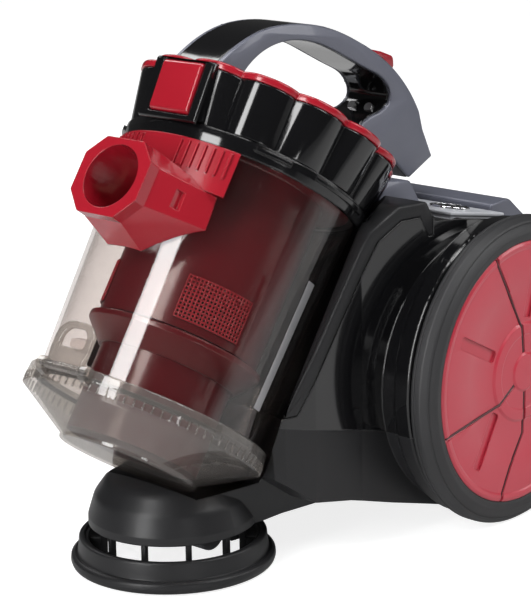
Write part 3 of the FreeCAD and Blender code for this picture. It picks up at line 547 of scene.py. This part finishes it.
# ---- dust cup ----
# A clear, slightly smoky acrylic cup with a ribbed, smoked flap hinged under it. A black collar is
# welded round its top and the red inlet port over a hole in its front; each side has a silver strip.
CUP_OUT = Vector(joints["cup_off"]["axis"]).normalized()      # out of the cradle
CUP_UP = Vector(joints["lid_off"]["axis"]).normalized()       # up the cup's own axis
HINGE = Vector(joints["flap_open"]["pos_m"])
CUP_BASE = HINGE + CUP_OUT * 0.0795 + CUP_UP * 0.002
cup = stand(CUP_BASE, (1, 0, 0), -CUP_OUT, CUP_UP)            # turned parts
cup_side = stand(CUP_BASE, CUP_OUT, CUP_UP, (-1, 0, 0))       # outlines seen from the side


def clear_plastic(name, tint, body, solid, edge_on, roughness):
    """See-through plastic: a tinted view behind, a film of its own colour, and a mirror at its edges."""
    material = bpy.data.materials.new(name)
    material.use_nodes = True
    material.node_tree.nodes.clear()
    tree = Tree(material.node_tree)
    place = tree.node("ShaderNodeTexCoord", {}, {}, "Object")
    haze = tree.node("ShaderNodeTexNoise", {}, {"Vector": place, "Scale": 30.0, "Detail": 5.0})
    away = tree.node("ShaderNodeLayerWeight", {}, {"Blend": 0.5}, "Facing")
    eased = tree.node("ShaderNodeBevel", {"samples": 6}, {"Radius": 0.0008})
    film = tree.node("ShaderNodeBsdfPrincipled", {}, {
        "Base Color": (*body, 1), "Roughness": 0.25 + 0.1 * haze, "Normal": eased})
    mirror = tree.node("ShaderNodeBsdfPrincipled", {}, {
        "Base Color": (0.95, 0.95, 0.95, 1), "Metallic": 1.0, "Roughness": roughness * (0.8 + 0.4 * haze),
        "Normal": eased})
    behind = tree.node("ShaderNodeBsdfTransparent", {}, {"Color": (*tint, 1)})
    inside = tree.node("ShaderNodeMixShader", {}, {0: solid + 0.04 * haze, 1: behind, 2: film})
    share = 0.045 + edge_on * away ** 4.0
    surface = tree.node("ShaderNodeMixShader", {}, {0: share, 1: inside, 2: mirror})
    tree.node("ShaderNodeOutputMaterial", {}, {"Surface": surface})
    return material


clear_cup = clear_plastic("clear_cup", (0.93, 0.90, 0.885), (0.05, 0.045, 0.045), 0.02, 0.45, 0.03)
smoked_clear = clear_plastic("smoked_clear", (0.80, 0.77, 0.74), (0.24, 0.225, 0.215), 0.20, 0.5, 0.05)
red_clear = clear_plastic("red_clear", (0.55, 0.05, 0.08), (0.15, 0.004, 0.010), 0.72, 0.35, 0.16)
dress(smoked_clear, "bottom_flap")
softened("rounded_latch", "latch", "smoked_clear", smoked_clear, "flap_latch", 0.8, 0.15)
dress(clear_cup, "dust_cup", "cup_catch")
dress(gloss_black, "cup_collar")
dress(gloss_red, "inlet_port")
dress(seal_rubber, "flap_seal", "lid_seal")
dress(steel, "flap_hinge_pin", "latch_pin")
vane_brown = plastic("vane_brown", (0.30, 0.16, 0.11), (0.36, 0.21, 0.15), 0.30, 0.00001, 0.0006)
dress(vane_brown, "guide_vane")

RIBS = 84
ribs = bar_ring(RIBS, 76.5, (1.3, 1.1, 6), -6.2, math.pi / RIBS)
add(piece("flap_ribs", ribs, cup, smoked_clear), "flap", "smoked_clear")


def swept_plate(corners, start, end, steps=24):
    """Closed section of (radius, height) carried round the axis between two angles from the front."""
    vertices = []
    for k in range(steps + 1):
        angle = math.radians(start + (end - start) * k / steps)
        for radius, height in corners:
            vertices.append((radius * math.sin(angle), -radius * math.cos(angle), height))
    count = len(corners)
    faces = [tuple(range(count)), tuple(range(count * steps, count * (steps + 1)))]
    for k in range(steps):
        for i in range(count):
            here = count * k + i
            beside = count * k + (i + 1) % count
            faces.append((here, beside, beside + count, here + count))
    mesh = bpy.data.meshes.new("swept")
    mesh.from_pydata(vertices, [], faces)
    return mesh


silver = plastic("silver", (0.30, 0.30, 0.31), (0.40, 0.40, 0.41), 0.30, 0.000004, 0.0001, metallic=0.7)
STRIP = [(71.35, 22), (71.65, 22), (74.55, 105), (74.25, 105)]
for side, out in (("left", 1), ("right", -1)):
    strip = piece(f"side_strip_{side}", swept_plate(STRIP, 95.5 * out, 101 * out, 6), cup, silver)
    add(strip, "cup", "clear_cup")

# ---- inside the cup ----
# A dark red shroud hangs from the lid. Air leaves the dirt through its two perforated screens. A
# near-black sheet behind each screen is painted shade that darkens its holes. A skirt and a plain
# tube below keep the settled dust down.
dress(red_clear, "shroud", "shroud_skirt", "dust_tube")
screen_red = plastic("screen_red", (0.26, 0.006, 0.014), (0.32, 0.010, 0.020), 0.35, 0.000004, 0.0003,
                     coat=0.2)
# Near-black for the sheet behind the screens: painted shade in the holes.
shade_backing_black = plastic("shade_backing_black", (0.006, 0.003, 0.003), (0.012, 0.006, 0.006), 0.7, 0.00004, 0.0001)
SCREEN_R = 51.9
SCREEN_MIDDLE = 58.5        # degrees from the front, on each side
SCREEN_LEVEL = 67
SCREEN_HALF = 24.5
PITCH = 2.4
BAR_R = 0.62


def perforated(columns, rows, middle):
    """Lattice of round bars bent round the shroud, with a square hole in each mesh."""
    group = bpy.data.node_groups.new("lattice", "GeometryNodeTree")
    sockets = {}
    for name, kind in (("Columns", "Int"), ("Rows", "Int"), ("Width", "Float"), ("Height", "Float"),
                       ("Radius", "Float"), ("Middle", "Float"), ("Level", "Float"), ("Bar", "Float")):
        socket_type = f"NodeSocket{kind}"
        sockets[name] = group.interface.new_socket(name=name, in_out="INPUT", socket_type=socket_type)
    group.interface.new_socket(name="Geometry", in_out="OUTPUT", socket_type="NodeSocketGeometry")
    tree = Tree(group)
    given = {name: tree.node("NodeGroupInput", {}, {}, name) for name in sockets}
    grid = tree.node("GeometryNodeMeshGrid", {}, {
        "Vertices X": given["Columns"], "Vertices Y": given["Rows"],
        "Size X": given["Width"], "Size Y": given["Height"]})
    place = tree.node("GeometryNodeInputPosition", {}, {})
    across, along = [tree.node("ShaderNodeSeparateXYZ", {}, {0: place}, axis) for axis in "XY"]
    turn = given["Middle"] + across / given["Radius"]
    spot = tree.node("ShaderNodeCombineXYZ", {}, {
        0: given["Radius"] * turn.math("SINE"), 1: 0.0 - given["Radius"] * turn.math("COSINE"),
        2: given["Level"] + along})
    bent = tree.node("GeometryNodeSetPosition", {}, {"Geometry": grid, "Position": spot})
    wires = tree.node("GeometryNodeMeshToCurve", {}, {"Mesh": bent})
    section = tree.node("GeometryNodeCurvePrimitiveCircle", {}, {"Resolution": 6, "Radius": given["Bar"]})
    bars = tree.node("GeometryNodeCurveToMesh", {}, {
        "Curve": wires, "Profile Curve": section, "Fill Caps": True})
    real = tree.node("GeometryNodeRealizeInstances", {}, {"Geometry": bars})
    finished = tree.node("GeometryNodeSetMaterial", {}, {"Geometry": real, "Material": screen_red})
    tree.node("NodeGroupOutput", {}, {"Geometry": finished})
    holder = bpy.data.objects.new("lattice", bpy.data.meshes.new("lattice"))
    bpy.context.scene.collection.objects.link(holder)
    nodes = holder.modifiers.new("lattice", "NODES")
    nodes.node_group = group
    for name, value in (("Columns", columns), ("Rows", rows), ("Width", (columns - 1) * PITCH),
                        ("Height", (rows - 1) * PITCH), ("Radius", SCREEN_R), ("Middle", middle),
                        ("Level", float(SCREEN_LEVEL)), ("Bar", BAR_R)):
        nodes[sockets[name].identifier] = value
    mesh = applied(holder)
    bpy.data.objects.remove(holder)
    return mesh


for side, out in (("left", 1), ("right", -1)):
    lattice = perforated(19, 12, math.radians(SCREEN_MIDDLE * out))
    add(piece(f"screen_{side}", lattice, cup, screen_red, 70), "lid", "dark_red")
    # A thin near-black sheet just behind the screen: painted shade for its holes.
    backing = [(51.05, 53), (51.2, 53), (51.2, 81), (51.05, 81)]
    ends = [(SCREEN_MIDDLE + half) * out for half in (-SCREEN_HALF, SCREEN_HALF)]
    shade_sheet = swept_plate(backing, *ends)
    add(piece(f"gauze_{side}", shade_sheet, cup, shade_backing_black), "lid", "dark_red")
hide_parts("shroud_screens")
dress(filter_foam, "pleated_filter")

# ---- lid ----
# The lid is a fluted black moulding with a scalloped red band on its rim. The red key in front
# frees it from the cup, and sits in a black frame.
BEZEL = [(70, 162.6), (79.6, 162.6), (79.6, 159.5), (82.5, 159.5, 2), (86.0, 198, 2), (70, 198)]
LID = [(70, 162.4), (77.8, 162.4, 1), (84.2, 196, 1), (77.6, 196), (76, 190.5, 1), (0, 190.5), (0, 187),
       (73.5, 187, 3)]
TRIM = [(77.2, 196), (84.8, 196, 0.6), (85.2, 200.5, 1.4), (77.2, 200.5, 1)]
FLUTES = 14
FLUTE_STEPS = 24            # faces across one flute
FLUTE_DEPTH = 6.0
BEZEL_HALF = 23.5


def scalloped(mesh, depth, inner, outer):
    """Press evenly spaced hollows into the outside of a turned mesh."""
    group = bpy.data.node_groups.new("scallop", "GeometryNodeTree")
    group.interface.new_socket(name="Geometry", in_out="INPUT", socket_type="NodeSocketGeometry")
    sockets = {}
    for name in ("Flutes", "Depth", "Inner", "Outer"):
        sockets[name] = group.interface.new_socket(name=name, in_out="INPUT", socket_type="NodeSocketFloat")
    group.interface.new_socket(name="Geometry", in_out="OUTPUT", socket_type="NodeSocketGeometry")
    tree = Tree(group)
    solid = tree.node("NodeGroupInput", {}, {}, "Geometry")
    given = {name: tree.node("NodeGroupInput", {}, {}, name) for name in sockets}
    place = tree.node("GeometryNodeInputPosition", {}, {})
    x, y, z = [tree.node("ShaderNodeSeparateXYZ", {}, {0: place}, axis) for axis in "XYZ"]
    radius = (x * x + y * y) ** 0.5
    angle = x.math("ARCTAN2", 0.0 - y)
    crest = (angle * given["Flutes"] / 2.0).math("SINE").math("ABSOLUTE")
    reach = ((radius - given["Inner"]) / (given["Outer"] - given["Inner"])).math("MAXIMUM", 0.0)
    press = given["Depth"] * (1.0 - crest) ** 1.4 * reach.math("MINIMUM", 1.0)
    scale = (radius - press) / radius.math("MAXIMUM", 0.001)
    moved = tree.node("ShaderNodeCombineXYZ", {}, {0: x * scale, 1: y * scale, 2: z})
    shaped = tree.node("GeometryNodeSetPosition", {}, {"Geometry": solid, "Position": moved})
    real = tree.node("GeometryNodeRealizeInstances", {}, {"Geometry": shaped})
    finished = tree.node("GeometryNodeSetMaterial", {}, {"Geometry": real, "Material": gloss_black})
    tree.node("NodeGroupOutput", {}, {"Geometry": finished})
    holder = bpy.data.objects.new("scallop", mesh)
    bpy.context.scene.collection.objects.link(holder)
    nodes = holder.modifiers.new("scallop", "NODES")
    nodes.node_group = group
    for name, value in (("Flutes", FLUTES), ("Depth", depth), ("Inner", inner), ("Outer", outer)):
        nodes[sockets[name].identifier] = float(value)
    pressed = applied(holder)
    bpy.data.objects.remove(holder)
    return pressed


def cup_slab(corners, half):
    """Outline of (forward, height), across the machine, in the turned parts' own axes."""
    mesh = slab_mesh([rounded(corners)], -half, half)
    mesh.transform(cup.inverted() @ cup_side)
    return mesh


lid = scalloped(lathe_mesh(LID, FLUTES * FLUTE_STEPS), FLUTE_DEPTH, 75.5, 79)
lid = cut_away(lid, [cup_slab(BEZEL, BEZEL_HALF)])
add(piece("fluted_lid", lid, cup, gloss_black, 50), "lid", "gloss_black", "cup_lid")
trim = scalloped(lathe_mesh(TRIM, FLUTES * FLUTE_STEPS), FLUTE_DEPTH, 78, 83)
trim = cut_away(trim, [cup_slab(BEZEL, BEZEL_HALF)])
add(piece("scalloped_band", trim, cup, gloss_red, 50), "lid", "gloss_red", "lid_trim")
softened("rounded_bezel", "lid", "gloss_black", gloss_black, "button_bezel", 1.0, 0.2)
softened("rounded_lid_button", "lid_release", "gloss_red", gloss_red, "lid_button", 1.5, 0.2)

# ---- handle ----
# A carrying handle rises from the lid: a gloss black core between two slate cheeks, with the cup's
# release key let into its back.
dress(gloss_black, "handle_core")
softened("rounded_cheeks", "lid", "slate_grey", slate_grey, "handle_cheeks", 1.0, 0.2)
softened("rounded_cup_release", "cup_release_key", "gloss_red", gloss_red, "cup_release", 1.2, 0.2)
dress(steel, "handle_screws")
